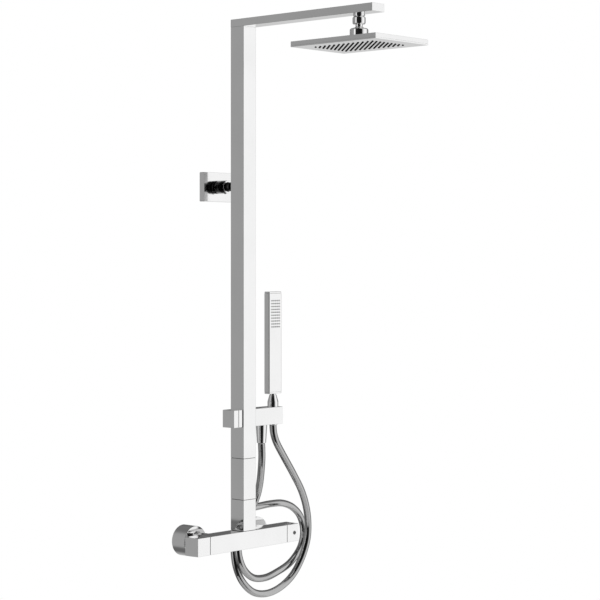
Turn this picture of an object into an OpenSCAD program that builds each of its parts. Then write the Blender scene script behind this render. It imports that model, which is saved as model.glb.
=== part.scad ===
// Rainfall shower column: bar mixer, square riser, arm with swivelling head, diverter and handset.
// Z = 0 is the mixer's axis, Y = 0 is the wall face, the room is on the -Y side.

/* [Column] */
// Width of the square riser tube
column_w = 34; // [33:0.5:40]
// Wall of the square riser tube
column_wall = 1.6; // [1.2:0.1:2]
// Distance from the wall to the riser's axis
column_y = 78; // [74:1:100]
// Height of the riser's top above the mixer's axis
column_top = 972; // [800:1:1200]
// Height of the lower seam above the mixer's axis
seam_low = 76; // [60:1:90]
// Height of the upper seam above the mixer's axis
seam_high = 154; // [130:1:170]
// Height of each seam ring
seam_h = 0.8; // [0.6:0.1:1.5]
// Outside diameter of the water pipes inside the riser
pipe_d = 15; // [12:0.5:15]

/* [Mixer] */
// Height and depth of the mixer bar
bar_w = 34; // [33:0.5:40]
// Length of the mixer body between its two knobs
body_l = 208; // [200:1:260]
// Length of each end knob
knob_l = 32; // [28:1:40]
// Gap between the body and each knob
knob_gap = 0.8; // [0.6:0.1:1.5]
// Distance between the mixer's two inlets
inlet_pitch = 150; // [148:1:152]
// Distance between the two wall outlets
wall_pitch = 168; // [160:1:170]
// Length of the thread that goes into the wall
wall_thread_l = 18; // [12:1:22]
// Diameter of the round escutcheons
escutcheon_d = 58; // [54:1:58]
// Depth of the round escutcheons
escutcheon_l = 34; // [24:1:36]
// Diameter of the safety button
button_d = 7.5; // [6:0.1:8]
// Travel of the safety button
button_travel = 2; // [1:0.1:2.5]

/* [Diverter] */
// Height of the crosspiece's centre above the mixer's axis
cross_z = 230.5; // [215:0.5:300]
// Height of the crosspiece
cross_h = 33; // [32:0.5:36]
// Depth of the crosspiece
cross_d = 30; // [28:0.5:30]
// Distance from the riser's axis to the crosspiece's left end
cross_left = 27.2; // [26:0.1:34]
// Distance from the riser's axis to the crosspiece's right end
cross_right = 94; // [94:0.5:110]
// Length of the diverter knob
div_knob_l = 12.5; // [10:0.5:20]
// Distance from the riser's axis to the hose outlet
outlet_x = 50; // [44:0.5:54]
// Distance from the riser's axis to the handset holder
holder_x = 82; // [78:0.5:82]

/* [Arm and head] */
// Thickness of the flat arm
arm_t = 14.5; // [14:0.5:20]
// Wall of the arm's tube
arm_wall = 1.8; // [1.2:0.1:2]
// Distance from the riser's axis to the arm's free end
arm_reach = 335; // [330:1:450]
// Distance from the riser's axis to the head's axis
head_reach = 290; // [200:1:300]
// Width of the head, along X
head_w = 146; // [140:1:200]
// Length of the head, along Y
head_l = 200; // [190:1:260]
// Thickness of the head
head_t = 10; // [9:0.5:14]
// Nozzles across the head
head_nx = 9; // [5:1:9]
// Nozzles along the head
head_ny = 13; // [7:1:13]
// Distance between nozzles across the head
head_px = 10.4; // [10:0.1:11]
// Distance between nozzles along the head
head_py = 11.2; // [10:0.1:11.8]
// Radius of the swivel ball
ball_r = 12.5; // [12.5:0.5:13]

/* [Handset] */
// Width of the handset
handset_w = 36; // [34:0.5:44]
// Thickness of the handset
handset_t = 14; // [13:0.5:18]
// Height of the handset without its nut
handset_h = 197; // [180:1:240]
// Diameter of the cone nut's rim
nut_rim_d = 21.3; // [21:0.1:21.4]
// Diameter of the shower hose
hose_d = 14; // [12:0.5:14]

/* [Bracket] */
// Width of the wall plate
plate_w = 80; // [70:1:100]
// Height of the wall plate
plate_h = 56; // [50:1:80]
// Depth of the wall plate
plate_t = 13; // [12:0.5:20]
// Height of the wall plate's centre above the mixer's axis
plate_z = 670; // [500:1:780]
// Diameter of the bracket's post
post_d = 25; // [22:0.5:30]
// Diameter of the bracket's sliding neck
neck_d = 17; // [14:0.5:18]

/* [Hidden] */
$fn = 48;
fit = 0.05;           // radial clearance of a running fit
gap = 0.3;            // clearance between pieces that do not touch
eps = 0.01;           // overlap of a cut past a face
mirror_left = [1, 0, 0];
column_in = column_w - 2 * column_wall;
bar_top = bar_w / 2;
body_end = body_l / 2;
knob_start = body_end + knob_gap;
bar_end = knob_start + knob_l;
bar_back = column_y - bar_w / 2;
cross_bottom = cross_z - cross_h / 2;
cross_top = cross_z + cross_h / 2;
cartridge_r = 12.5;   // mixer cartridges
cartridge_l = 38;
cartridge_neck_r = 9;
cartridge_neck_l = 9;
spindle_r = 4;
knob_cavity_r = 14;
knob_cavity_l = 13;
spindle_grip = 11;    // length of spindle held in a knob's hub
screw_r = 2.5;
screw_l = 9;            // how far the wall screws reach past the wall
grub_r = 2;           // knob set screws
grub_x = knob_start + knob_cavity_l + 7;
union_r = 13.2;       // G 3/4 thread of the S-union
wall_thread_d = 20.96; // G 1/2 thread into the wall
union_front = 47;     // distance from the wall to the S-union's front end
union_bore_r = 7;
tail_r = 10;          // the mixer's inlet tails
nut_af = 30;          // across flats of the union nuts
washer_t = 2;
button_x = body_end + 21;
div_r = 10;           // diverter cartridge
div_l = 30;
div_spindle_r = 3;
div_gap = 0.7;
div_knob_end = cross_left + div_gap + div_knob_l;
outlet_thread_r = 8.3; // hose outlet thread
outlet_thread_l = 11;
hose_nut_l = 35;
hose_nut_top_r = 11;
hose_nut_low_r = 8.9;
nut_low_r = 8.9;      // handset nut below its shoulder
liner_t = 0.8;
cone_bottom = cross_bottom - 2;
holder_step = cross_bottom + 12;   // the shoulder that the handset nut sits on
rim_top = cross_top + 10;
nut_top = rim_top + 13;
handset_bottom = nut_top + 2;
handset_cap = 3.5;
stem_r = 6.2;
hs_low = handset_bottom + handset_cap;
hs_high = handset_bottom + handset_h - handset_cap;
hs_field = hs_high - 14; // height of the top row of nozzles
hs_nx = 5; hs_ny = 10; hs_px = 5; hs_py = 5.6;
hs_nozzle_r = 1.5;
arm_front = column_y + arm_reach;
arm_back = column_y - column_w / 2;
arm_bottom = column_top;
arm_mid = column_top + arm_t / 2;
arm_h_in = arm_t - 2 * arm_wall;
arm_w_in = column_w - 2 * arm_wall;
arm_pipe_r = 4.5;
swivel_z = column_top - 34.5;      // centre of the swivel ball
head_y = column_y + head_reach;
head_top = swivel_z - ball_r - 1;
head_bottom = head_top - head_t;
neck_r = 6.5;
seat_in = ball_r + 0.1;
seat_out = ball_r + 1.4;
cup_r = ball_r + 1.5;
boss_r = cup_r + 1.2;
collar_r = cup_r + 2.7;
collar_top = swivel_z + 7.5;
nozzle_r = 2.2;
nozzle_proud = 1.2;
face_t = 2.6;
mat_t = 1.2;
post_end = plate_t + 24.5;
neck_stud_r = 4;      // stud that fastens the neck to the riser's back

// Route of the shower hose, from the cone nut round the loop to the outlet nut
HOSE = [
  [82, -78, 212], [83.5, -78, 198], [88, -78, 184.5], [96.5, -77.5, 170.5], [116, -76, 146],
  [145, -74, 110], [172, -70, 76], [193, -64, 40], [207, -56, 4], [211, -49, -30],
  [202, -42, -66], [181, -37, -97], [150, -33, -117], [116, -29, -125], [84, -24, -119],
  [60, -18, -97], [45, -15, -66], [40, -14, -31], [42, -14, 2], [52.5, -14, 24],
  [70, -14, 38], [91, -14, 44], [115, -14, 46], [145, -13, 47], [178, -13, 45],
  [207, -14, 34], [229, -15, 13], [237, -16, -17], [226, -18, -48], [193, -21, -74],
  [150, -24, -88], [112, -27, -94], [77, -29, -89], [51, -30, -70], [37, -30, -42],
  [35, -30, -10], [43, -31, 15], [58, -36, 38], [68.5, -45, 66], [66, -58, 98],
  [54, -75, 146], [50, -78, 179]];
hose_steps = 2;       // rings for each stretch of the route
hose_sides = 12;

// ---- helpers ----
module box(x0, x1, y0, y1, z0, z1) {
  translate([x0, y0, z0]) cube([x1 - x0, y1 - y0, z1 - z0]);
}
module xcyl(r, x0, x1, y, z) {
  translate([x0, y, z]) rotate([0, 90, 0]) cylinder(r = r, h = x1 - x0);
}
module ycyl(r, y0, y1, x, z) {
  translate([x, y1, z]) rotate([90, 0, 0]) cylinder(r = r, h = y1 - y0);
}
module zcyl(r, z0, z1, x, y) {
  translate([x, y, z0]) cylinder(r = r, h = z1 - z0);
}
module rounded_rect(w, d, r) {
  square([w - 2 * r, d], center = true);
  square([w, d - 2 * r], center = true);
  for (sx = [-1, 1], sy = [-1, 1])
    translate([sx * (w / 2 - r), sy * (d / 2 - r)]) circle(r = r);
}
module upright(w, d, r, z0, z1, x, y) {
  translate([x, y, z0]) linear_extrude(z1 - z0) rounded_rect(w, d, r);
}
module along_x(w, h, r, x0, x1, y, z) {
  translate([x0, y, z]) rotate([90, 0, 90]) linear_extrude(x1 - x0) rounded_rect(w, h, r);
}
module along_y(w, h, r, y0, y1, x, z) {
  translate([x, y1, z]) rotate([90, 0, 0]) linear_extrude(y1 - y0) rounded_rect(w, h, r);
}
module hex_y(af, y0, y1, x, z) {
  translate([x, y1, z]) rotate([90, 0, 0]) cylinder(r = af / sqrt(3), h = y1 - y0, $fn = 6);
}
module left() { mirror(mirror_left) children(); }

// ---- mixer ----
module mixer_body() color("silver") difference() {
  union() {
    along_x(bar_w, bar_w, 1, -body_end, body_end, -column_y, 0);
    for (s = [-1, 1]) {
      ycyl(tail_r, -bar_back - eps, -union_front - washer_t - 2, s * inlet_pitch / 2, 0);
      ycyl(tail_r + 2, -union_front - washer_t - 2, -union_front - washer_t, s * inlet_pitch / 2, 0);
    }
  }
  for (s = [-1, 1]) {
    xcyl(cartridge_r, s > 0 ? body_end - cartridge_l : -body_end - eps,
      s > 0 ? body_end + eps : -body_end + cartridge_l, -column_y, 0);
    ycyl(union_bore_r, -column_y, -union_front, s * inlet_pitch / 2, 0);
  }
  xcyl(6, -body_end + cartridge_l - eps, body_end - cartridge_l + eps, -column_y, 0);
  zcyl(pipe_d / 2, 8, bar_top + eps, 0, -column_y);
  zcyl(pipe_d / 2 - 1.5, 0, 8 + eps, 0, -column_y);
}

// S-union: wall thread on the wall pitch, front thread on the mixer's pitch
module s_union() color("gainsboro") {
  wx = wall_pitch / 2;
  ix = inlet_pitch / 2;
  difference() {
    union() {
      ycyl(wall_thread_d / 2, -2, wall_thread_l, wx, 0);
      ycyl(12.5, -20, -2, wx, 0);
      ycyl(union_r, -union_front, -15, ix, 0);
    }
    ycyl(union_bore_r, -18, wall_thread_l + eps, wx, 0);
    ycyl(union_bore_r, -union_front - eps, -17, ix, 0);
  }
}
module union_right() s_union();
module union_left() left() s_union();

module union_nut() color("silver") difference() {
  hex_y(nut_af, -bar_back + 2, -union_front + 8, inlet_pitch / 2, 0);
  ycyl(tail_r + gap, -bar_back + 2 - eps, -union_front - washer_t - 2 - gap, inlet_pitch / 2, 0);
  ycyl(union_r, -union_front - washer_t - 2 - gap - eps, -union_front + 8 + eps, inlet_pitch / 2, 0);
}
module union_nut_right() union_nut();
module union_nut_left() left() union_nut();

module union_seals() color("dimgray") for (s = [-1, 1]) difference() {
  ycyl(tail_r + 2, -union_front - washer_t, -union_front, s * inlet_pitch / 2, 0);
  ycyl(union_bore_r, -union_front - washer_t - eps, -union_front + eps, s * inlet_pitch / 2, 0);
}
module check_valves() color("white") for (s = [-1, 1]) difference() {
  ycyl(union_bore_r - fit, -bar_back - 3, -bar_back + 9, s * inlet_pitch / 2, 0);
  ycyl(3.5, -bar_back - 3 - eps, -bar_back + 9 + eps, s * inlet_pitch / 2, 0);
}

module escutcheon() color("gainsboro") {
  wx = wall_pitch / 2;
  r = escutcheon_d / 2;
  difference() {
    ycyl(r, -escutcheon_l, -0.2, wx, 0);
    ycyl(r - 1.5, -escutcheon_l + 2, 0, wx, 0);
    ycyl(union_r + gap, -escutcheon_l - eps, -escutcheon_l + 2 + eps, inlet_pitch / 2, 0);
  }
}
module escutcheon_right() escutcheon();
module escutcheon_left() left() escutcheon();

// Cartridge, spindle, knob, grub screw and stop ring, drawn at the right-hand end
module cartridge() difference() {
  union() {
    xcyl(cartridge_r, body_end - cartridge_l, body_end, -column_y, 0);
    xcyl(cartridge_neck_r, body_end - eps, body_end + cartridge_neck_l, -column_y, 0);
  }
  xcyl(spindle_r + fit, body_end - 12, body_end + cartridge_neck_l + eps, -column_y, 0);
}
module spindle() xcyl(spindle_r, body_end - 11, knob_start + knob_cavity_l + spindle_grip, -column_y, 0);
module knob(button) difference() {
  along_x(bar_w, bar_w, 1, knob_start, bar_end, -column_y, 0);
  xcyl(knob_cavity_r, knob_start - eps, knob_start + knob_cavity_l, -column_y, 0);
  xcyl(spindle_r, knob_start + knob_cavity_l - eps, knob_start + knob_cavity_l + spindle_grip, -column_y, 0);
  zcyl(grub_r, -bar_top - eps, 1 - spindle_r, grub_x, -column_y);
  if (button) ycyl(button_d / 2 + fit, -column_y - bar_top - eps, -column_y - 6, button_x, 0);
}
module knob_grub() zcyl(grub_r, -bar_top + 2, -spindle_r, grub_x, -column_y);
module stop_ring() difference() {
  xcyl(knob_cavity_r - 0.5, knob_start + 1, knob_start + 5, -column_y, 0);
  xcyl(cartridge_neck_r, knob_start + 1 - eps, knob_start + 5 + eps, -column_y, 0);
}
module temperature_cartridge() color("goldenrod") cartridge();
module temperature_spindle() color("peru") spindle();
module temperature_knob() color("silver") knob(true);
module temperature_knob_grub() color("dimgray") knob_grub();
module temperature_stop_ring() color("red") stop_ring();
module flow_cartridge() color("goldenrod") left() cartridge();
module flow_spindle() color("peru") left() spindle();
module flow_knob() color("silver") left() knob(false);
module flow_knob_grub() color("dimgray") left() knob_grub();
module flow_stop_ring() color("steelblue") left() stop_ring();
module safety_button() color("gray") difference() {
  ycyl(button_d / 2, -column_y - bar_top - 0.5, -column_y - bar_top + 7, button_x, 0);
  ycyl(button_d / 2 - 1.2, -column_y - bar_top + 2, -column_y - bar_top + 7 + eps, button_x, 0);
}
module button_spring() color("lightgray") difference() {
  ycyl(button_d / 2 - 1.7, -column_y - bar_top + 2 + button_travel, -column_y - 6, button_x, 0);
  ycyl(button_d / 2 - 2.5, -column_y - bar_top + 2 + button_travel - eps, -column_y - 6 + eps, button_x, 0);
}

// ---- riser ----
module square_tube(w, wall, z0, z1) difference() {
  upright(w, w, 0.8, z0, z1, 0, -column_y);
  upright(w - 2 * wall, w - 2 * wall, 0.3, z0 - eps, z1 + eps, 0, -column_y);
}
module column_foot() color("silver") square_tube(column_w, column_wall, bar_top + seam_h, seam_low);
module column_sleeve() color("silver") square_tube(column_w, column_wall, seam_low + seam_h, seam_high);
module column_main() color("silver") difference() {
  square_tube(column_w, column_wall, seam_high + seam_h, column_top);
  box(-column_w, column_w, -column_y - cross_d / 2 - 0.1, -column_y + cross_d / 2 + 0.1,
    cross_bottom - 0.1, cross_top + 0.1);
  ycyl(neck_stud_r, -column_y + column_in / 2 - 1, -column_y + column_w, 0, plate_z);
}
module column_core() color("darkgray") difference() {
  upright(column_in - 0.1, column_in - 0.1, 0.5, bar_top, cross_bottom - 3, 0, -column_y);
  zcyl(pipe_d / 2 + gap, bar_top - eps, cross_bottom, 0, -column_y);
}
module seam_rings() color("dimgray") for (z = [bar_top, seam_low, seam_high]) difference() {
  upright(column_w - 1.4, column_w - 1.4, 0.5, z, z + seam_h, 0, -column_y);
  upright(column_in, column_in, 0.5, z - eps, z + seam_h + eps, 0, -column_y);
}
module water_pipe(z0, z1) color("peru") difference() {
  zcyl(pipe_d / 2, z0, z1, 0, -column_y);
  zcyl(pipe_d / 2 - 1, z0 - eps, z1 + eps, 0, -column_y);
}
module lower_pipe() water_pipe(8, cross_bottom + 5);
module upper_pipe() water_pipe(cross_top - 5, column_top - 14);

// ---- wall bracket ----
module bracket_base() color("gray") difference() {
  along_y(plate_w - 8, plate_h - 8, 2, -3, 0, 0, plate_z);
  for (s = [-1, 1]) ycyl(3.8, -3 - eps, eps, s * (plate_w / 2 - 14), plate_z);
  ycyl(5, -3 - eps, eps, 0, plate_z);
}
module bracket_cover() color("silver") difference() {
  along_y(plate_w, plate_h, 1.5, -plate_t, -0.2, 0, plate_z);
  along_y(plate_w - 3, plate_h - 3, 0.8, -plate_t + 1.6, eps, 0, plate_z);
  ycyl(post_d / 2, -plate_t - eps, -plate_t + 2, 0, plate_z);
}
module bracket_post() color("silver") difference() {
  union() {
    ycyl(post_d / 2, -post_end, -3, 0, plate_z);
    ycyl(5, -3 - eps, -0.4, 0, plate_z);
  }
  ycyl(neck_d / 2, -post_end - eps, -plate_t, 0, plate_z);
  zcyl(2, plate_z - post_d, plate_z - neck_d / 2 + 1, 0, -post_end + 8);
}
module bracket_neck() color("silver") union() {
  ycyl(neck_d / 2, -column_y + column_w / 2, -plate_t - 6, 0, plate_z);
  ycyl(neck_stud_r, -column_y + column_in / 2 - 4, -column_y + column_w / 2 + eps, 0, plate_z);
  ycyl(6, -column_y + column_in / 2 - 4, -column_y + column_in / 2, 0, plate_z);
}
module bracket_grub() color("dimgray")
  zcyl(2, plate_z - post_d / 2 - 1, plate_z - neck_d / 2, 0, -post_end + 8);
module wall_screws() color("lightgray") for (s = [-1, 1]) {
  ycyl(screw_r, -3 - eps, screw_l, s * (plate_w / 2 - 14), plate_z);
  ycyl(4.5, -5.5, -3, s * (plate_w / 2 - 14), plate_z);
}

// ---- crosspiece with diverter, hose outlet and handset holder ----
module cross_body() color("silver") difference() {
  along_x(cross_d, cross_h, 0.8, -cross_left, cross_right, -column_y, cross_z);
  xcyl(div_r, -cross_left - eps, -cross_left + div_l, -column_y, cross_z);
  xcyl(4, -cross_left + div_l - eps, outlet_x + 4, -column_y, cross_z);
  zcyl(6, cross_bottom - eps, cross_z, outlet_x, -column_y);
  zcyl(pipe_d / 2, cross_bottom - eps, cross_bottom + 5, 0, -column_y);
  zcyl(pipe_d / 2, cross_top - 5, cross_top + eps, 0, -column_y);
  zcyl(5.5, cross_bottom, cross_top, 0, -column_y);
  holder_bore(gap + liner_t, eps);
  holder_slot();
}
// The holder's stepped seat, wider than the cone nut by grow, and past its ends by over
module holder_bore(grow, over) {
  zcyl(nut_low_r + grow, cross_bottom - over, cross_top, holder_x, -column_y);
  zcyl(nut_rim_d / 2 + grow, holder_step, cross_top + over, holder_x, -column_y);
}
// The slot in the holder's end, wide enough for the hose
module holder_slot() box(holder_x + 3, cross_right + 1, -column_y - hose_d / 2 - 0.8,
  -column_y + hose_d / 2 + 0.8, cross_bottom - 1, cross_top + 1);
module holder_liner() color("dimgray") difference() {
  union() {
    zcyl(nut_low_r + gap + liner_t, cross_bottom, cross_top, holder_x, -column_y);
    zcyl(nut_rim_d / 2 + gap + liner_t, holder_step, cross_top, holder_x, -column_y);
  }
  zcyl(nut_low_r + gap, cross_bottom - eps, cross_top, holder_x, -column_y);
  zcyl(nut_rim_d / 2 + gap, holder_step + liner_t, cross_top + eps, holder_x, -column_y);
  holder_slot();
}
module diverter_cartridge() color("goldenrod") difference() {
  xcyl(div_r, -cross_left + 0.2, -cross_left + div_l, -column_y, cross_z);
  xcyl(div_spindle_r + fit, -cross_left, -cross_left + 14, -column_y, cross_z);
  zcyl(4, cross_z - div_r - 1, cross_z + div_r + 1, 0, -column_y);
}
module diverter_spindle() color("peru")
  xcyl(div_spindle_r, -div_knob_end + 3, -cross_left + 13, -column_y, cross_z);
module diverter_knob() color("silver") difference() {
  along_x(cross_d, cross_h, 0.8, -div_knob_end, -cross_left - div_gap, -column_y, cross_z);
  xcyl(div_spindle_r, -div_knob_end + 3, -cross_left, -column_y, cross_z);
}
module outlet_nipple() color("goldenrod") difference() {
  union() {
    zcyl(6, cross_bottom, cross_bottom + 8, outlet_x, -column_y);
    zcyl(outlet_thread_r, cross_bottom - outlet_thread_l, cross_bottom, outlet_x, -column_y);
  }
  zcyl(4, cross_bottom - outlet_thread_l - eps, cross_bottom + 8 + eps, outlet_x, -column_y);
}
module hose_nut() color("silver") difference() {
  translate([outlet_x, -column_y, cross_bottom - hose_nut_l])
    cylinder(r1 = hose_nut_low_r, r2 = hose_nut_top_r, h = hose_nut_l - 0.3);
  zcyl(outlet_thread_r, cross_bottom - outlet_thread_l - 1, cross_bottom + eps, outlet_x, -column_y);
  zcyl(4, cross_bottom - hose_nut_l + 3, cross_bottom, outlet_x, -column_y);
}

// Hose: a tube swept along HOSE on a smooth curve through its points
function catmull(a, b, c, d, t) = 0.5 * (2 * b + (c - a) * t + (2 * a - 5 * b + 4 * c - d) * t * t
  + (3 * b - a - 3 * c + d) * t * t * t);
function route_point(i) = HOSE[min(max(i, 0), len(HOSE) - 1)];
hose_line = concat([for (i = [0:len(HOSE) - 2], k = [0:hose_steps - 1])
  catmull(route_point(i - 1), route_point(i), route_point(i + 1), route_point(i + 2), k / hose_steps)],
  [HOSE[len(HOSE) - 1]]);
function unit(v) = v / norm(v);
rings = len(hose_line);
function heading(i) = (i == 0 || i == rings - 1) ? [0, 0, i == 0 ? -1 : 1]
  : unit(hose_line[i + 1] - hose_line[i - 1]);
function side_of(t) = unit([0, 1, 0] - t * t[1]);
function ring(i) = let (t = heading(i), a = side_of(t), b = cross(t, a))
  [for (k = [0:hose_sides - 1]) hose_line[i]
    + hose_d / 2 * (cos(360 * k / hose_sides) * a + sin(360 * k / hose_sides) * b)];
module hose() color("gray") polyhedron(
  points = [for (i = [0:rings - 1]) each ring(i)],
  faces = concat(
    [[for (k = [0:hose_sides - 1]) k]],
    [for (i = [0:rings - 2], k = [0:hose_sides - 1]) let (n = (k + 1) % hose_sides)
      [i * hose_sides + k, (i + 1) * hose_sides + k, (i + 1) * hose_sides + n, i * hose_sides + n]],
    [[for (k = [hose_sides - 1:-1:0]) (rings - 1) * hose_sides + k]]));

// ---- handset ----
module handset_nut() color("silver") difference() {
  translate([holder_x, -column_y, cone_bottom]) rotate_extrude() polygon([
    [0, 0], [nut_low_r, 0], [nut_low_r, holder_step + liner_t + gap - cone_bottom],
    [nut_rim_d / 2, holder_step + liner_t + gap - cone_bottom],
    [nut_rim_d / 2, rim_top - cone_bottom - 1], [nut_rim_d / 2 - 1, rim_top - cone_bottom],
    [6.8, nut_top - cone_bottom - 1.5], [6.6, nut_top - cone_bottom], [0, nut_top - cone_bottom]]);
  zcyl(stem_r + fit, rim_top - 8, nut_top + eps, holder_x, -column_y);
  zcyl(3.5, cone_bottom + 3, nut_top, holder_x, -column_y);
}
module handset_inlet() color("goldenrod") difference() {
  zcyl(stem_r, rim_top - 6, hs_low, holder_x, -column_y);
  zcyl(3.5, rim_top - 6 - eps, hs_low + eps, holder_x, -column_y);
}
module handset_body() color("silver") difference() {
  upright(handset_w, handset_t, 2.5, hs_low, hs_high, holder_x, -column_y);
  upright(handset_w - 4, handset_t - 4, 1, hs_low - eps, hs_high + eps, holder_x, -column_y);
  for (i = [0:hs_nx - 1], j = [0:hs_ny - 1])
    ycyl(hs_nozzle_r + 0.1, -column_y - handset_t, -column_y, holder_x + (i - (hs_nx - 1) / 2) * hs_px, hs_field - j * hs_py);
}
module handset_nozzle_mat() color("dimgray") {
  box(holder_x - 14, holder_x + 14, -column_y - handset_t / 2 + 2, -column_y - handset_t / 2 + 3.2,
    hs_field - hs_ny * hs_py, hs_field + hs_py);
  for (i = [0:hs_nx - 1], j = [0:hs_ny - 1])
    ycyl(hs_nozzle_r, -column_y - handset_t / 2 - 0.4, -column_y - handset_t / 2 + 2 + eps,
      holder_x + (i - (hs_nx - 1) / 2) * hs_px, hs_field - j * hs_py);
}
module handset_caps() color("silver") {
  difference() {
    upright(handset_w - 0.6, handset_t - 0.6, 2.2, handset_bottom, hs_low, holder_x, -column_y);
    zcyl(stem_r, handset_bottom - eps, hs_low + eps, holder_x, -column_y);
  }
  upright(handset_w - 0.6, handset_t - 0.6, 2.2, hs_high, handset_bottom + handset_h, holder_x, -column_y);
}

// ---- arm ----
module arm_tube() color("silver") difference() {
  along_y(column_w, arm_t, 0.8, -arm_front + 2, -arm_back - 2, 0, arm_mid);
  along_y(arm_w_in, arm_h_in, 0.4, -arm_front, -arm_back, 0, arm_mid);
  zcyl(11, arm_bottom - 1, arm_bottom + arm_wall + 1, 0, -column_y);
  zcyl(8, arm_bottom - 1, arm_bottom + arm_wall + 1, 0, -head_y);
}
module arm_end_caps() color("silver") {
  along_y(column_w, arm_t, 0.8, -arm_front, -arm_front + 2, 0, arm_mid);
  along_y(arm_w_in - 0.2, arm_h_in - 0.2, 0.4, -arm_front + 2, -arm_front + 8, 0, arm_mid);
  along_y(column_w, arm_t, 0.8, -arm_back - 2, -arm_back, 0, arm_mid);
}
module arm_block() color("goldenrod") difference() {
  union() {
    upright(column_in - 0.1, column_in - 0.1, 0.5, column_top - 26, column_top, 0, -column_y);
    zcyl(11, column_top - eps, arm_bottom + arm_wall, 0, -column_y);
    box(-arm_w_in / 2 + 0.5, arm_w_in / 2 - 0.5, -column_y - 13, -column_y + 13,
      arm_bottom + arm_wall, arm_bottom + arm_t - arm_wall - 0.1);
  }
  zcyl(pipe_d / 2, column_top - 27, column_top - 14, 0, -column_y);
  zcyl(4, column_top - 15, arm_mid, 0, -column_y);
  ycyl(3.5, -column_y - 14, -column_y, 0, arm_mid);
  ycyl(arm_pipe_r, -column_y - 14, -column_y - 6, 0, arm_mid);
}
module arm_pipe() color("peru") difference() {
  ycyl(arm_pipe_r, -head_y + 6, -column_y - 6, 0, arm_mid);
  ycyl(3.5, -head_y + 6 - eps, -column_y - 6 + eps, 0, arm_mid);
}
module arm_outlet() color("silver") difference() {
  union() {
    box(-arm_w_in / 2 + 0.5, arm_w_in / 2 - 0.5, -head_y - 13, -head_y + 13,
      arm_bottom + arm_wall, arm_bottom + arm_t - arm_wall - 0.1);
    zcyl(8, swivel_z + 18, arm_bottom + arm_wall + eps, 0, -head_y);
    zcyl(10.75, arm_bottom - 5, arm_bottom, 0, -head_y);
  }
  zcyl(4, swivel_z + 18 - eps, arm_mid, 0, -head_y);
  ycyl(3.5, -head_y, -head_y + 14, 0, arm_mid);
  ycyl(arm_pipe_r, -head_y + 6, -head_y + 14, 0, arm_mid);
}

// ---- swivel and head ----
module swivel_ball() color("silver") difference() {
  union() {
    translate([0, -head_y, swivel_z]) sphere(r = ball_r);
    zcyl(neck_r, swivel_z + 9, swivel_z + 16, 0, -head_y);
    translate([0, -head_y, swivel_z + 15]) rotate_extrude() polygon([
      [0, 0], [10.2, 0], [11.75, 1.5], [11.75, arm_bottom - swivel_z - 22],
      [10.4, arm_bottom - swivel_z - 20.5], [0, arm_bottom - swivel_z - 20.5]]);
  }
  zcyl(8, swivel_z + 18, arm_bottom, 0, -head_y);
  zcyl(4, swivel_z - ball_r - 1, swivel_z + 19, 0, -head_y);
}
// A band of the spherical seat between two heights, open in the middle
module seat(z0, z1) intersection() {
  difference() {
    translate([0, -head_y, swivel_z]) sphere(r = seat_out);
    translate([0, -head_y, swivel_z]) sphere(r = seat_in);
  }
  zcyl(seat_out + 1, swivel_z + z0, swivel_z + z1, 0, -head_y);
}
module seat_upper() color("white") seat(1.8, 8.4);
module seat_lower() color("white") seat(-8.4, -1.8);
module head_collar() color("silver") difference() {
  translate([0, -head_y, head_top]) rotate_extrude() polygon([
    [0, 0], [collar_r, 0], [collar_r, collar_top - head_top - 2],
    [collar_r - 2, collar_top - head_top], [0, collar_top - head_top]]);
  translate([0, -head_y, swivel_z]) sphere(r = cup_r);
  zcyl(boss_r, head_top - eps, swivel_z - 0.4, 0, -head_y);
}
module head_body() color("silver") difference() {
  union() {
    upright(head_w, head_l, 3, head_bottom + face_t, head_top, 0, -head_y);
    zcyl(boss_r, head_top - eps, swivel_z - 0.5, 0, -head_y);
  }
  upright(head_w - 8, head_l - 8, 2, head_bottom + face_t - eps, head_top - 2.6, 0, -head_y);
  translate([0, -head_y, swivel_z]) sphere(r = cup_r);
  zcyl(7, head_bottom + face_t, swivel_z, 0, -head_y);
}
module nozzle_grid() for (i = [0:head_nx - 1], j = [0:head_ny - 1])
  translate([(i - (head_nx - 1) / 2) * head_px, -head_y + (j - (head_ny - 1) / 2) * head_py, 0])
    children();
module head_face() color("silver") difference() {
  upright(head_w, head_l, 3, head_bottom, head_bottom + face_t, 0, -head_y);
  nozzle_grid() zcyl(nozzle_r + 0.1, head_bottom - 1, head_bottom + face_t + 1, 0, 0);
}
module head_nozzle_mat() color("dimgray") {
  upright(head_w - 9, head_l - 9, 2, head_bottom + face_t, head_bottom + face_t + mat_t, 0, -head_y);
  nozzle_grid() zcyl(nozzle_r, head_bottom - nozzle_proud, head_bottom + face_t + eps, 0, 0);
}

mixer_body();
union_left();
union_right();
union_nut_left();
union_nut_right();
union_seals();
check_valves();
escutcheon_left();
escutcheon_right();
flow_cartridge();
flow_spindle();
flow_knob();
flow_knob_grub();
flow_stop_ring();
temperature_cartridge();
temperature_spindle();
temperature_knob();
temperature_knob_grub();
temperature_stop_ring();
safety_button();
button_spring();
column_foot();
column_sleeve();
column_main();
column_core();
seam_rings();
lower_pipe();
upper_pipe();
bracket_base();
bracket_cover();
bracket_post();
bracket_neck();
bracket_grub();
wall_screws();
cross_body();
diverter_cartridge();
diverter_spindle();
diverter_knob();
outlet_nipple();
hose_nut();
hose();
holder_liner();
handset_nut();
handset_inlet();
handset_body();
handset_nozzle_mat();
handset_caps();
arm_tube();
arm_end_caps();
arm_block();
arm_pipe();
arm_outlet();
swivel_ball();
seat_upper();
seat_lower();
head_collar();
head_body();
head_face();
head_nozzle_mat();
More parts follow.
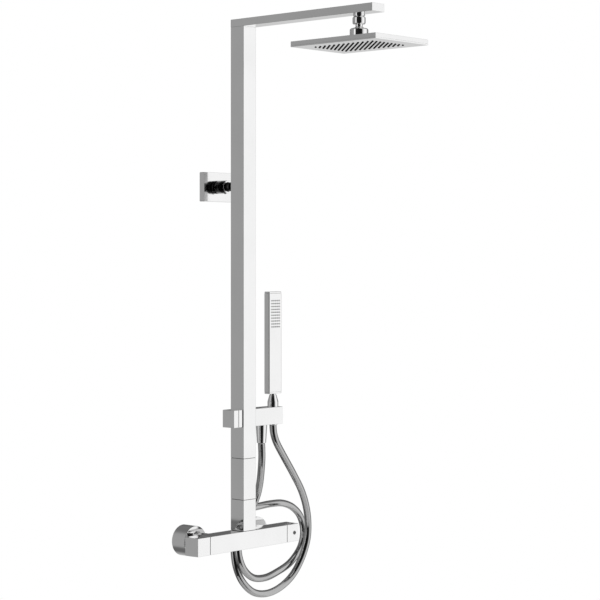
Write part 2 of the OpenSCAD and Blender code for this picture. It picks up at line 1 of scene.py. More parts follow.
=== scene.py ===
# %% [markdown]
# # Rainfall shower column
# A thermostatic bar mixer, a square riser, a crosspiece with a handset on its hose, and a rain head on an
# arm. The exact model comes in as a fixed frame, and this script dresses it: every visible part gets a
# finished shape with soft edges, and every part gets a procedural material. Shapes are given in millimetres
# and set in metres. The wall is the plane Y = 0, with the room on its -Y side, and the axis of the mixer is
# level with Z = 0.

# %% Load the frame
import math
import bmesh
import bpy
from mathutils import Matrix, Vector


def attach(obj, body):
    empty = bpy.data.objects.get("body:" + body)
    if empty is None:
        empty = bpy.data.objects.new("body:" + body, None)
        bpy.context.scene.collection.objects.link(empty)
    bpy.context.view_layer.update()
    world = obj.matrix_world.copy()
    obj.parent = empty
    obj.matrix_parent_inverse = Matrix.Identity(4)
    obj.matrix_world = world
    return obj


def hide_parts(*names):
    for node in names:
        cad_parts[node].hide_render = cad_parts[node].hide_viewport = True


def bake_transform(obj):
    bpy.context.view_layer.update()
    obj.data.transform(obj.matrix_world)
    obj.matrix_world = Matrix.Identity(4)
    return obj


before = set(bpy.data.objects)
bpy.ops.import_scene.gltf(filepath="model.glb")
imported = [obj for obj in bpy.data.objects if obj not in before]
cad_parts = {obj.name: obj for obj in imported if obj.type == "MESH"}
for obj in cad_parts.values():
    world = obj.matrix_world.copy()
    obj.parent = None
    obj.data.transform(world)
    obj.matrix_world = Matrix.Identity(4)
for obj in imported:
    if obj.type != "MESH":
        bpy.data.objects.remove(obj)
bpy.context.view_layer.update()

MM = 0.001
RISER_Y = -78        # axis of the riser, the mixer and the crosspiece, in front of the wall
HOLDER_X = 82        # axis of the handset and its holder
OUTLET_X = 50        # axis of the hose outlet
HEAD_Y = -368        # axis of the rain head and its swivel
SQUARE = (34, 34)    # section of the mixer, its handles and the riser

# %% [markdown]
# ## Camera
# A tall, thin object shows least distortion through a long lens held level, which keeps its uprights
# parallel. The camera looks from the front left. A small lens shift frames the object, where a tilt would
# make the uprights converge.

# %% Camera
HEADING = math.radians(47.46)       # how far the view is turned from straight ahead
EYE = (-2.5046, -2.5225, 0.530)
camera_data = bpy.data.cameras.new("camera")
camera_data.sensor_width = 36
camera_data.lens = 110.46
camera_data.shift_y = -1 / 15
camera_data.clip_start, camera_data.clip_end = 0.1, 60
camera = bpy.data.objects.new("camera", camera_data)
camera.location = EYE
camera.rotation_euler = (math.radians(90), 0, -HEADING)
bpy.context.scene.collection.objects.link(camera)
bpy.context.scene.camera = camera
print("camera at", [round(x, 3) for x in camera.location])

# %% [markdown]
# ## Hose
# The hose is 1.35 m of 14 mm hose. It leaves the outlet under the crosspiece, drops behind the mixer, makes
# one loop and a half and rises to the cone nut of the handset. A curve with a bevel would draw it, but a
# mesh tube has exact bounds, and its own UV for the winding to follow. The points are the hose's route.

# %% Hose
HOSE_RADIUS = 7.0
HOSE_SIDES = 28
STEPS_PER_POINT = 9
ROUTE = [
    (50, -78, 179), (54, -75, 146), (66, -58, 98), (68.5, -45, 66), (58, -36, 38),
    (43, -31, 15), (35, -30, -10), (37, -30, -42), (51, -30, -70), (77, -29, -89),
    (112, -27, -94), (150, -24, -88), (193, -21, -74), (226, -18, -48), (237, -16, -17),
    (229, -15, 13), (207, -14, 34), (178, -13, 45), (145, -13, 47), (115, -14, 46),
    (91, -14, 44), (70, -14, 38), (52.5, -14, 24), (42, -14, 2), (40, -14, -31),
    (45, -15, -66), (60, -18, -97), (84, -24, -119), (116, -29, -125), (150, -33, -117),
    (181, -37, -97), (202, -42, -66), (211, -49, -30), (207, -56, 4), (193, -64, 40),
    (172, -70, 76), (145, -74, 110), (116, -76, 146), (96.5, -77.5, 170.5), (88, -78, 184.5),
    (83.5, -78, 198), (82, -78, 212)]


def smooth_route(points, steps):
    """Points of a Catmull-Rom curve through the route."""
    pts = [Vector(p) * MM for p in points]

    def at(i):
        return pts[min(max(i, 0), len(pts) - 1)]

    out = []
    for i in range(len(pts) - 1):
        a, b, c, d = at(i - 1), at(i), at(i + 1), at(i + 2)
        for k in range(steps):
            t = k / steps
            out.append(0.5 * (2 * b + (c - a) * t + (2 * a - 5 * b + 4 * c - d) * t * t
                              + (3 * b - a - 3 * c + d) * t ** 3))
    return out + [pts[-1]]


def tube(points, radius, sides):
    """A mesh tube along points, with its length in U and its way round in V."""
    bm = bmesh.new()
    uv = bm.loops.layers.uv.new("along")
    reach = [0.0]
    for a, b in zip(points, points[1:]):
        reach.append(reach[-1] + (b - a).length)
    side, rings = Vector((0, 1, 0)), []
    for i, p in enumerate(points):
        ahead = (points[min(i + 1, len(points) - 1)] - points[max(i - 1, 0)]).normalized()
        side = (side - ahead * side.dot(ahead)).normalized()
        other = ahead.cross(side)
        ring = []
        for k in range(sides):
            a = 2 * math.pi * k / sides
            ring.append(bm.verts.new(p + radius * (math.cos(a) * side + math.sin(a) * other)))
        rings.append(ring)
    for i in range(len(rings) - 1):
        for k in range(sides):
            n = (k + 1) % sides
            face = bm.faces.new((rings[i][k], rings[i][n], rings[i + 1][n], rings[i + 1][k]))
            face.smooth = True
            for loop, (row, turn) in zip(face.loops, ((i, k), (i, k + 1), (i + 1, k + 1), (i + 1, k))):
                loop[uv].uv = (reach[row] / reach[-1], turn / sides)
    bm.faces.new(rings[0])
    bm.faces.new(list(reversed(rings[-1])))
    mesh = bpy.data.meshes.new("shower_hose")
    bm.to_mesh(mesh)
    bm.free()
    return mesh


hose_line = smooth_route(ROUTE, STEPS_PER_POINT)
hose = bpy.data.objects.new("shower_hose", tube(hose_line, HOSE_RADIUS * MM, HOSE_SIDES))
bpy.context.scene.collection.objects.link(hose)
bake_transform(hose)
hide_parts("hose")
print("hose:", round(sum((b - a).length for a, b in zip(hose_line, hose_line[1:])), 4), "m")

# %% [markdown]
# ## Surroundings
# Chrome has hardly a colour of its own and shows what is round it, so the surroundings do most of the work.
# Panels standing in the room would have to be hidden from the camera. The world does it instead, in greys
# by direction: a dark room behind the camera, bright sides to its left and right, and a grey wash behind
# the object. The camera itself sees plain white.

# %% Tools for nodes
scene = bpy.context.scene
scene.view_settings.view_transform = "Standard"


def node_tree(tree):
    """A short way to add and join nodes: add(type, inputs, settings) gives the node."""
    def add(kind, inputs=None, **settings):
        node = tree.nodes.new(kind)
        for key, value in settings.items():
            setattr(node, key, value)
        for key, value in (inputs or {}).items():
            if isinstance(value, bpy.types.NodeSocket):
                tree.links.new(value, node.inputs[key])
            else:
                node.inputs[key].default_value = value
        return node
    return add


def ramp(node, stops):
    """Sets a colour ramp's stops from (position, grey) pairs."""
    elements = node.color_ramp.elements
    while len(elements) > 1:
        elements.remove(elements[-1])
    for i, (position, value) in enumerate(stops):
        e = elements[0] if i == 0 else elements.new(position)
        e.position = position
        e.color = (value, value, value, 1)


print("node tools ready")


# %% World directions
world = bpy.data.worlds.new("studio")
scene.world = world
world.use_nodes = True
world.node_tree.nodes.clear()
sky = node_tree(world.node_tree)
way = sky("ShaderNodeTexCoord").outputs["Generated"]
facing = (-math.sin(HEADING), -math.cos(HEADING), 0)
beside = (math.cos(HEADING), -math.sin(HEADING), 0)
along = sky("ShaderNodeVectorMath", {0: way, 1: facing}, operation="DOT_PRODUCT").outputs["Value"]
across = sky("ShaderNodeVectorMath", {0: way, 1: beside}, operation="DOT_PRODUCT").outputs["Value"]
height = sky("ShaderNodeSeparateXYZ", {0: way}).outputs["Z"]
turn = sky("ShaderNodeMath", {0: across, 1: along}, operation="ARCTAN2").outputs[0]
turn = sky("ShaderNodeMapRange", {"Value": turn, "From Min": -math.pi, "From Max": math.pi}).outputs[0]
print("world: a heading and a height for every direction")


# %% World greys
def greys(stops):
    """Greys by heading, from (degrees, grey) pairs: 0 is toward the camera and 90 is to its right."""
    node = sky("ShaderNodeValToRGB", {0: turn})
    ramp(node, [((degrees + 180) / 360, value) for degrees, value in stops])
    return node.outputs[0]


def fade(value, start, end):
    """A smooth change from 0 at start to 1 at end."""
    return sky("ShaderNodeMapRange", {"Value": value, "From Min": start, "From Max": end},
               interpolation_type="SMOOTHSTEP").outputs[0]


def blended(factor, a, b):
    return sky("ShaderNodeMix", {"Factor": factor, "A": a, "B": b}, data_type="RGBA").outputs["Result"]


level = greys([(-180, 0.12), (-130, 0.25), (-88, 0.34), (-73, 0.22), (-67, 0.95), (-50, 0.95), (-45, 0.015),
               (10, 0.008), (36, 0.02), (47, 0.60), (64, 0.92), (95, 0.96), (106, 0.92), (111, 0.30),
               (140, 0.20), (180, 0.12)])
low = greys([(-180, 0.62), (-150, 0.30), (-130, 0.13), (-80, 0.13), (-62, 0.40), (-50, 0.03), (36, 0.03),
             (50, 0.60), (100, 0.95), (140, 0.62), (180, 0.62)])
high = greys([(-180, 0.14), (-110, 0.12), (-80, 0.14), (-60, 0.60), (-48, 0.03), (36, 0.03), (50, 0.70),
              (62, 0.90), (100, 0.95), (130, 0.30), (180, 0.14)])
up = fade(height, 0.5, 0.8)
down = fade(height, 0.06, 0.03)
both = blended(up, level, high)
behind = fade(along, -0.5, -0.95)
steep = fade(height, -0.42, -0.64)
near = sky("ShaderNodeMath", {0: down, 1: behind}, operation="MULTIPLY").outputs[0]
far = sky("ShaderNodeMath", {0: near, 1: steep}, operation="MAXIMUM").outputs[0]
room = blended(far, both, low)
around_light = sky("ShaderNodeBackground", {"Color": room, "Strength": 1.0})
behind_light = sky("ShaderNodeBackground", {"Color": (1, 1, 1, 1), "Strength": 1.0})
seen = sky("ShaderNodeLightPath").outputs["Is Camera Ray"]
mixed = sky("ShaderNodeMixShader", {0: seen, 1: around_light.outputs[0], 2: behind_light.outputs[0]})
sky("ShaderNodeOutputWorld", {"Surface": mixed.outputs[0]})
print("world: level, low and high greys")

# %% [markdown]
# ## Floor and lights
# A pale matt disc a metre below the mixer is floor enough, since a level view doesn't reach it. Three soft
# lights fill the shadows of what isn't chrome. They are kept out of the mirror surfaces, where they would
# show as white discs.

# %% Floor
FLOOR_RADIUS = 0.8
FLOOR_PLACE = (0, -0.2, -1.0)
FLOOR_GREY = 0.86
floor_mesh = bpy.data.meshes.new("floor")
bm = bmesh.new()
bmesh.ops.create_circle(bm, cap_ends=True, radius=FLOOR_RADIUS, segments=96)
bm.to_mesh(floor_mesh)
bm.free()
floor = bpy.data.objects.new("floor", floor_mesh)
floor.location = FLOOR_PLACE
scene.collection.objects.link(floor)
floor_material = bpy.data.materials.new("floor")
floor_material.use_nodes = True
floor_shader = floor_material.node_tree.nodes["Principled BSDF"]
floor_shader.inputs["Base Color"].default_value = (FLOOR_GREY, FLOOR_GREY, FLOOR_GREY, 1)
floor_shader.inputs["Roughness"].default_value = 0.9
floor_mesh.materials.append(floor_material)
print("floor:", FLOOR_RADIUS, "m in radius")


# %% Lights
def softbox(name, place, target, size, watts):
    """A soft light that fills shadows without showing in the chrome."""
    light = bpy.data.lights.new(name, "AREA")
    light.shape, light.size, light.energy = "DISK", size, watts
    o = bpy.data.objects.new(name, light)
    o.location = place
    o.rotation_euler = (Vector(target) - Vector(place)).to_track_quat("-Z", "Y").to_euler()
    o.visible_glossy = False
    scene.collection.objects.link(o)


MIDDLE = (0, -0.15, 0.4)
softbox("key", (1.4, -2.2, 2.2), target=MIDDLE, size=1.6, watts=80)
softbox("fill", (-2.4, -0.6, 1.0), target=MIDDLE, size=1.8, watts=12)
softbox("under", (-0.6, -1.6, -0.8), target=(0, -0.2, 0.6), size=1.4, watts=8)
print("three soft lights")

# %% [markdown]
# ## Finishes
# Each shared effect is one node group. It gives a colour, a roughness and a height, and the material's own
# shader takes them. The same nodes could stand in each material, but a group is built once and placed with
# its own values.

# %% Tools for effects
def group(name, inputs):
    """A node group with the given (name, kind, default) inputs and a colour, roughness and height out."""
    tree = bpy.data.node_groups.new(name, "ShaderNodeTree")
    for label, kind, default in inputs:
        socket = tree.interface.new_socket(label, in_out="INPUT", socket_type="NodeSocket" + kind)
        socket.default_value = default
    for label, kind in (("Color", "Color"), ("Roughness", "Float"), ("Height", "Float")):
        tree.interface.new_socket(label, in_out="OUTPUT", socket_type="NodeSocket" + kind)
    start = tree.nodes.new("NodeGroupInput")
    return tree, node_tree(tree), start.outputs


def give(add, color, roughness, height):
    add("NodeGroupOutput", {"Color": color, "Roughness": roughness, "Height": height})


def spread(add, value, low, high, out_low=0.0, out_high=1.0):
    return add("ShaderNodeMapRange", {"Value": value, "From Min": low, "From Max": high,
                                      "To Min": out_low, "To Max": out_high}).outputs[0]


def noise(add, place, scale, detail=3.0):
    return add("ShaderNodeTexNoise", {"Vector": place, "Scale": scale, "Detail": detail}).outputs["Fac"]


def tinted(add, factor, a, b):
    return add("ShaderNodeMix", {"Factor": factor, "A": a, "B": b}, data_type="RGBA").outputs["Result"]


print("tools for effects ready")

# %% [markdown]
# ### Plating
# Plated brass is almost a mirror, so its detail is faint: wiping marks and water spots in the gloss, and a
# very fine ripple. Stronger marks would turn it satin.

# %% Plating
plating, add, given = group("plating", [("Tone", "Color", (0.92, 0.92, 0.93, 1)),
                                        ("Dull", "Color", (0.85, 0.86, 0.88, 1)),
                                        ("Gloss", "Float", 0.04), ("Marks", "Float", 0.03)])
place = add("ShaderNodeTexCoord").outputs["Object"]
stretched = add("ShaderNodeMapping", {"Vector": place, "Scale": (1.0, 1.0, 0.35)}).outputs[0]
wiped = spread(add, noise(add, stretched, 26, 4), 0.45, 0.75)
spots = add("ShaderNodeTexVoronoi", {"Vector": place, "Scale": 95.0}).outputs["Distance"]
spots = spread(add, spots, 0.16, 0.10)
worn = add("ShaderNodeMath", {0: wiped, 1: spots}, operation="MAXIMUM").outputs[0]
rough = add("ShaderNodeMath", {0: worn, 1: given["Marks"], 2: given["Gloss"]},
            operation="MULTIPLY_ADD").outputs[0]
shade = tinted(add, spread(add, noise(add, place, 14), 0.35, 0.7), given["Tone"], given["Dull"])
give(add, shade, rough, noise(add, place, 420, 2))
print("plating: marks, spots and a ripple")

# %% [markdown]
# ### Casting and moulding
# The brass, copper and steel inside have a grain and uneven colour, and so have plastic and rubber, finer
# and more matt. One function makes both effects, since only their numbers differ.

# %% Casting and moulding
def grained(name, tone, dull, gloss, grain, patches, patch_range, detail, depth):
    """Uneven patches of colour under a fine grain, which also breaks up the gloss."""
    tree, add, given = group(name, [("Tone", "Color", tone), ("Dull", "Color", dull),
                                    ("Gloss", "Float", gloss), ("Grain", "Float", grain)])
    place = add("ShaderNodeTexCoord").outputs["Object"]
    uneven = spread(add, noise(add, place, *patches), *patch_range)
    grains = noise(add, place, given["Grain"], detail)
    rough = add("ShaderNodeMath", {0: grains, 1: depth, 2: given["Gloss"]}, operation="MULTIPLY_ADD").outputs[0]
    give(add, tinted(add, uneven, given["Tone"], given["Dull"]), rough, grains)
    return tree


casting = grained("casting", (0.7, 0.5, 0.25, 1), (0.4, 0.3, 0.15, 1), gloss=0.3, grain=900.0,
                  patches=(60, 5), patch_range=(0.35, 0.65), detail=2.0, depth=0.18)
moulded = grained("moulded", (0.1, 0.1, 0.1, 1), (0.15, 0.15, 0.15, 1), gloss=0.5, grain=1500.0,
                  patches=(110, 3), patch_range=(0.3, 0.7), detail=1.0, depth=0.15)
print("casting and moulding")

# %% [markdown]
# ### Winding
# Under its clear skin the hose has a metal strip wound round it. Modelled turns would be far too many
# faces, so a slanting groove is worked out from the tube's UV: its length in U and its way round in V.

# %% Winding
winding, add, given = group("winding", [("Tone", "Color", (0.5, 0.5, 0.5, 1)),
                                        ("Dull", "Color", (0.3, 0.3, 0.3, 1)),
                                        ("Gloss", "Float", 0.12), ("Turns", "Float", 420.0)])
strip = add("ShaderNodeTexCoord").outputs["UV"]
split = add("ShaderNodeSeparateXYZ", {0: strip})
lead = add("ShaderNodeMath", {0: split.outputs["X"], 1: given["Turns"], 2: split.outputs["Y"]},
           operation="MULTIPLY_ADD").outputs[0]
phase = add("ShaderNodeMath", {0: lead, 1: 1.0}, operation="FRACT").outputs[0]
groove = spread(add, add("ShaderNodeMath", {0: phase, 1: 0.5}, operation="PINGPONG").outputs[0], 0.0, 0.12)
smudge = spread(add, noise(add, add("ShaderNodeTexCoord").outputs["Object"], 35, 4), 0.4, 0.8, 0.0, 0.06)
rough = add("ShaderNodeMath", {0: smudge, 1: given["Gloss"]}, operation="ADD").outputs[0]
give(add, tinted(add, groove, given["Dull"], given["Tone"]), rough, groove)
print("node groups:", [t.name for t in bpy.data.node_groups])

# %% [markdown]
# ## Materials
# Most of the object is one bright plating, and the parts inside need brass, copper, steel, rubber and
# plastics. Each could be built by hand, but one table shows them side by side: the effect each uses, its
# two colours, how glossy it is, and its shader's own settings.

# %% Materials
def grey(value, warm=0.0):
    return (value * (1 + warm), value, value * (1 - warm), 1)


RECIPES = {
    # name: (group, tone, dull, gloss, fourth input, metallic, bump height in mm, other shader settings)
    "chrome": (plating, grey(0.94), grey(0.91), 0.075, 0.030, 1.0, 0.0004, {}),
    # The next finish is the chrome with its colour darkened nearly to black: painted shade and painted dark
    # reflection for the post and neck.
    "chrome_painted_dark": (plating, grey(0.045), grey(0.03), 0.10, 0.06, 1.0, 0.001, {}),
    "button_chrome": (plating, grey(0.30), grey(0.24), 0.08, 0.04, 1.0, 0.0006, {}),
    "brass": (casting, (0.75, 0.52, 0.22, 1), (0.52, 0.36, 0.15, 1), 0.22, 900.0, 1.0, 0.02, {}),
    "copper": (casting, (0.72, 0.36, 0.20, 1), (0.46, 0.24, 0.15, 1), 0.24, 700.0, 1.0, 0.02, {}),
    "steel": (casting, grey(0.62), grey(0.45), 0.22, 1200.0, 1.0, 0.01, {}),
    "rubber": (moulded, grey(0.010), grey(0.020), 0.55, 2400.0, 0.0, 0.02, {"Specular IOR Level": 0.2}),
    "dark_plastic": (moulded, grey(0.035), grey(0.055), 0.38, 1600.0, 0.0, 0.015, {}),
    "white_plastic": (moulded, grey(0.80, 0.02), grey(0.72, 0.02), 0.35, 1600.0, 0.0, 0.01, {}),
    "red_plastic": (moulded, (0.62, 0.03, 0.03, 1), (0.48, 0.03, 0.03, 1), 0.35, 1600.0, 0.0, 0.01, {}),
    "blue_plastic": (moulded, (0.03, 0.10, 0.55, 1), (0.03, 0.08, 0.42, 1), 0.35, 1600.0, 0.0, 0.01, {}),
    "hose_skin": (winding, grey(0.50), grey(0.38), 0.05, 420.0, 1.0, 0.0012,
                  {"Coat Weight": 0.5, "Coat Roughness": 0.05}),
}
MATERIALS = {}
for name, (tree, tone, dull, gloss, fourth, metallic, bump, settings) in RECIPES.items():
    material = bpy.data.materials.new(name)
    material.use_nodes = True
    material.node_tree.nodes.clear()
    add = node_tree(material.node_tree)
    effect = add("ShaderNodeGroup", node_tree=tree)
    effect.inputs["Tone"].default_value = tone
    effect.inputs["Dull"].default_value = dull
    effect.inputs["Gloss"].default_value = gloss
    effect.inputs[3].default_value = fourth
    relief = add("ShaderNodeBump", {"Strength": 1.0, "Distance": bump * MM,
                                    "Height": effect.outputs["Height"]})
    shader = add("ShaderNodeBsdfPrincipled", {"Base Color": effect.outputs["Color"],
                                              "Roughness": effect.outputs["Roughness"],
                                              "Normal": relief.outputs[0]})
    shader.inputs["Metallic"].default_value = metallic
    for key, value in settings.items():
        shader.inputs[key].default_value = value
    add("ShaderNodeOutputMaterial", {"Surface": shader.outputs[0]})
    MATERIALS[name] = material
hose.data.materials.append(MATERIALS["hose_skin"])
print("materials:", sorted(MATERIALS))

# %% [markdown]
# ## Making shapes
# Every piece is a stack of rings joined by faces. A bar is a rounded rectangle carried along an axis, with
# its ends eased by a small radius. A turned piece is a profile carried round an axis, with its corners
# eased too. Cubes and cylinders with a bevel modifier would be quicker to draw, but rings give each edge
# its own radius.

# %% Shape tools
AXES = {"x": (Vector((0, 1, 0)), Vector((0, 0, 1)), Vector((1, 0, 0))),
        "y": (Vector((0, 0, 1)), Vector((1, 0, 0)), Vector((0, 1, 0))),
        "z": (Vector((1, 0, 0)), Vector((0, 1, 0)), Vector((0, 0, 1)))}
EDGE = math.radians(38)   # sharper edges than this stay crisp


def loft(bm, rings, looped=False):
    """Joins rings of equally many points with faces, and closes the ends or joins the last to the first."""
    made = [[bm.verts.new(p) for p in r] for r in rings]
    n = len(made[0])
    pairs = list(zip(made, made[1:])) + ([(made[-1], made[0])] if looped else [])
    for a, b in pairs:
        for i in range(n):
            bm.faces.new((a[i], a[(i + 1) % n], b[(i + 1) % n], b[i]))
    if not looped:
        bm.faces.new(list(reversed(made[0])))
        bm.faces.new(made[-1])


def rounded(w, h, r, steps=4, least=0.02):
    """The outline of a rectangle with rounded corners."""
    r = max(r, least)
    out = []
    for cx, cy, start in ((w / 2 - r, h / 2 - r, 0), (r - w / 2, h / 2 - r, 90),
                          (r - w / 2, r - h / 2, 180), (w / 2 - r, r - h / 2, 270)):
        for k in range(steps + 1):
            a = math.radians(start + 90 * k / steps)
            out.append((cx + r * math.cos(a), cy + r * math.sin(a)))
    return out


def on_axis(axis, centre, x, y, at):
    """A point of an outline, in mm, set on an axis and given in metres."""
    u, v, w = AXES[axis]
    return (u * (centre[0] + x) + v * (centre[1] + y) + w * at) * MM


def along_axis(axis, centre, points, at):
    """An outline set on an axis, at one place along it."""
    return [on_axis(axis, centre, x, y, at) for x, y in points]


def bar(axis, centre, size, start, end, corner=0.8, ease=0.5):
    """The rings of a rectangular bar along an axis, in mm, with eased ends."""
    def step(k, at, side):
        a = math.pi / 2 * k / 3
        inset = ease * (1 - math.cos(a))
        outline = rounded(size[0] - 2 * inset, size[1] - 2 * inset, corner - inset)
        return along_axis(axis, centre, outline, at + side * ease * (1 - math.sin(a)))
    return [step(k, start, 1) for k in (3, 2, 1, 0)] + [step(k, end, -1) for k in (0, 1, 2, 3)]


def eased(profile, radius, closed=False):
    """A turned profile with each corner replaced by a short curve."""
    pts = [Vector((r, h, 0)) for r, h in profile]
    out = []
    for i, p in enumerate(pts):
        if not closed and i in (0, len(pts) - 1):
            out.append((p.x, p.y))
            continue
        a, b = pts[i - 1] - p, pts[(i + 1) % len(pts)] - p
        cut = min(radius, a.length * 0.45, b.length * 0.45)
        a, b = p + a.normalized() * cut, p + b.normalized() * cut
        for t in (0, 0.33, 0.67, 1):
            q = a * (1 - t) ** 2 + p * 2 * t * (1 - t) + b * t * t
            out.append((q.x, q.y))
    return out


def turned(bm, axis, centre, profile, ease=0.4, sides=64, closed=False):
    """A turned piece: profile is (radius, place along the axis) pairs in mm; closed makes a ring of it."""
    angles = [2 * math.pi * k / sides for k in range(sides)]
    rings = []
    for r, h in eased(profile, ease, closed):
        circle = [(r * math.cos(a), r * math.sin(a)) for a in angles]
        rings.append(along_axis(axis, centre, circle, h))
    loft(bm, rings, looped=closed)


print("bars and turned shapes ready")

# %% [markdown]
# Nuts and threads come from the same rings. A nut's six sides are a radius that changes with the angle, and
# a thread is a radius that also changes along the axis.

# %% Nuts and threads


def hexagon(bm, axis, centre, flats, start, end, sides=72, chamfer=0.58):
    """A hexagonal nut with both faces turned to a chamfer; flats is its size across the flats."""
    face_radius = flats / 2 * 0.97
    rings = []
    for face, side in ((start, 1), (end, -1)):
        face_ring, corner_ring = [], []
        for k in range(sides):
            a = 2 * math.pi * k / sides
            reach = flats / 2 / math.cos(((a + math.pi / 6) % (math.pi / 3)) - math.pi / 6)
            inner = min(reach, face_radius)
            drop = side * (reach - inner) * chamfer
            face_ring.append(on_axis(axis, centre, inner * math.cos(a), inner * math.sin(a), face))
            corner_ring.append(on_axis(axis, centre, reach * math.cos(a), reach * math.sin(a), face + drop))
        rings += [face_ring, corner_ring] if side > 0 else [corner_ring, face_ring]
    loft(bm, rings)


def threaded(bm, axis, centre, radius, start, end, depth, pitch=1.814, sides=48, per_turn=6):
    """A threaded rod: the radius follows a helix."""
    count = int((end - start) / pitch * per_turn)
    rings = []
    for i in range(count + 1):
        h = start + (end - start) * i / count
        ends = min(1.0, (h - start) / pitch, (end - h) / pitch)
        ring = []
        for k in range(sides):
            turn_part = (h / pitch - k / sides) % 1.0
            r = radius - depth * (1 - ends + ends * abs(2 * turn_part - 1))
            a = 2 * math.pi * k / sides
            ring.append((r * math.cos(a), r * math.sin(a)))
        rings.append(along_axis(axis, centre, ring, h))
    loft(bm, rings)


print("nuts and threads ready")


# %% Pieces
def piece(name, bm, body, material, node):
    """Makes an object of a mesh, with its material and the body it rides on, and hides the CAD node it stands
    for.
    """
    bmesh.ops.recalc_face_normals(bm, faces=bm.faces[:])
    mesh = bpy.data.meshes.new(name)
    bm.to_mesh(mesh)
    bm.free()
    mesh.polygons.foreach_set("use_smooth", [True] * len(mesh.polygons))
    mesh.set_sharp_from_angle(angle=EDGE)
    mesh.materials.append(MATERIALS[material])
    obj = bpy.data.objects.new(name, mesh)
    scene.collection.objects.link(obj)
    normals = obj.modifiers.new("even_faces", "WEIGHTED_NORMAL")
    normals.weight = 100
    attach(obj, body)
    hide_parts(node)
    return obj


def bar_piece(name, body, material, node, axis, centre, size, start, end, corner=0.8, ease=0.5):
    bm = bmesh.new()
    loft(bm, bar(axis, centre, size, start, end, corner, ease))
    return piece(name, bm, body, material, node)


def turned_piece(name, body, material, node, axis, centre, profile, ease=0.4, sides=64, closed=False):
    bm = bmesh.new()
    turned(bm, axis, centre, profile, ease, sides, closed)
    return piece(name, bm, body, material, node)


print("pieces ready")

# %% [markdown]
# Some pieces also need a hole that isn't on their own axis. Cutting it into the rings by hand would be
# long, so a second mesh is taken away from the first, and is then deleted.

# %% Drilling
def drill(obj, bm):
    """Takes a built mesh away from a piece."""
    bmesh.ops.recalc_face_normals(bm, faces=bm.faces[:])
    mesh = bpy.data.meshes.new("cutter")
    bm.to_mesh(mesh)
    bm.free()
    cutter = bpy.data.objects.new("cutter", mesh)
    scene.collection.objects.link(cutter)
    cut = obj.modifiers.new("cut", "BOOLEAN")
    cut.operation, cut.solver, cut.object = "DIFFERENCE", "EXACT", cutter
    obj.modifiers.move(len(obj.modifiers) - 1, 0)
    others = [m for m in obj.modifiers if m != cut]
    for m in others:
        m.show_viewport = False
    bpy.context.view_layer.update()
    done = bpy.data.meshes.new_from_object(obj.evaluated_get(bpy.context.evaluated_depsgraph_get()))
    for m in others:
        m.show_viewport = True
    obj.modifiers.remove(cut)
    old = obj.data
    obj.data = done
    done.name = obj.name
    bpy.data.meshes.remove(old)
    bpy.data.objects.remove(cutter)
    done.set_sharp_from_angle(angle=EDGE)
    return obj


def rod(axis, centre, radius, start, end, sides=48):
    """A plain round cutter."""
    bm = bmesh.new()
    turned(bm, axis, centre, [(radius, start), (radius, end)], 0, sides)
    return bm


print("drill ready")

# %% [markdown]
# ## Mixer
# The mixer is one square body between two square handles, with a fine shadow gap at each. The gaps are real
# space between separate pieces, where a drawn line would look flat from close by. The button is turned, and
# its handle is drilled for it.

# %% Mixer bar, handles and button
BAR_AXIS = (RISER_Y, 0)
BAR_END = 104
HANDLE_FROM, HANDLE_TO = 104.8, 136.8
BUTTON_X = 125
INLET_X = 75       # the mixer's own inlets
UNION_X = 84       # the wall ends of the S-unions, turned outward
bm = bmesh.new()
loft(bm, bar("x", BAR_AXIS, SQUARE, -BAR_END, BAR_END, corner=1.0, ease=0.35))
for x in (-INLET_X, INLET_X):
    turned(bm, "y", (0, x), [(12, -49), (12, -51), (10, -51), (10, -62)], ease=0.3)
piece("mixer_bar", bm, "root", "chrome", "mixer_body")
temperature_handle = bar_piece("temperature_handle", "temperature", "chrome", "temperature_knob", "x",
                               BAR_AXIS, SQUARE, HANDLE_FROM, HANDLE_TO, corner=1.0)
drill(temperature_handle, rod("y", (0, BUTTON_X), 3.95, -98, -86))
bar_piece("flow_handle", "flow", "chrome", "flow_knob", "x", BAR_AXIS, SQUARE, -HANDLE_TO, -HANDLE_FROM,
          corner=1.0)
turned_piece("stop_button", "button", "button_chrome", "safety_button", "y", (0, BUTTON_X),
             [(0.2, -93.2), (1.6, -93.5), (2.7, -94.5), (3.2, -95.5), (3.75, -95.5), (3.75, -88.5)],
             ease=0.25, sides=40)
print("mixer bar with two handles and a stop button")

# %% [markdown]
# Behind the mixer, two S-unions carry it on the wall: a threaded end in the wall, a nut on the mixer's
# inlet, and a round escutcheon over the joint. They are off centre, so each escutcheon is turned on one
# axis and drilled on another.

# %% Unions, nuts and escutcheons
WALL_THREAD = 10.48    # radius of the thread in the wall
NUT_THREAD = 13.2      # radius of the thread in the nut
NUT_FLATS = 30
COVER_RADIUS = 29
for name, side in (("left", -1), ("right", 1)):
    x, inlet = side * UNION_X, side * INLET_X
    bm = bmesh.new()
    threaded(bm, "y", (0, x), WALL_THREAD, -2, 18, depth=0.9)
    turned(bm, "y", (0, x), [(12.5, -20), (12.5, -2)])
    threaded(bm, "y", (0, inlet), NUT_THREAD, -47, -15, depth=0.8)
    piece("s_union_" + name, bm, "root", "chrome", "union_" + name)
    bm = bmesh.new()
    hexagon(bm, "y", (0, inlet), NUT_FLATS, -59, -39)
    piece("nut_" + name, bm, "root", "chrome", "union_nut_" + name)
    cover = turned_piece("escutcheon_cover_" + name, "root", "chrome", "escutcheon_" + name, "y", (0, x),
                         [(0.5, -34), (COVER_RADIUS, -34), (COVER_RADIUS, -0.2), (27.5, -0.2), (27.5, -32),
                          (0.5, -32)], ease=0.7, sides=96)
    drill(cover, rod("y", (0, inlet), 13.6, -40, -20))
print("two unions, nuts and escutcheons")

# %% [markdown]
# ## Riser and wall bracket
# The riser is a square tube in three lengths. They are made apart, so that the dark lines between them are
# real shadow.

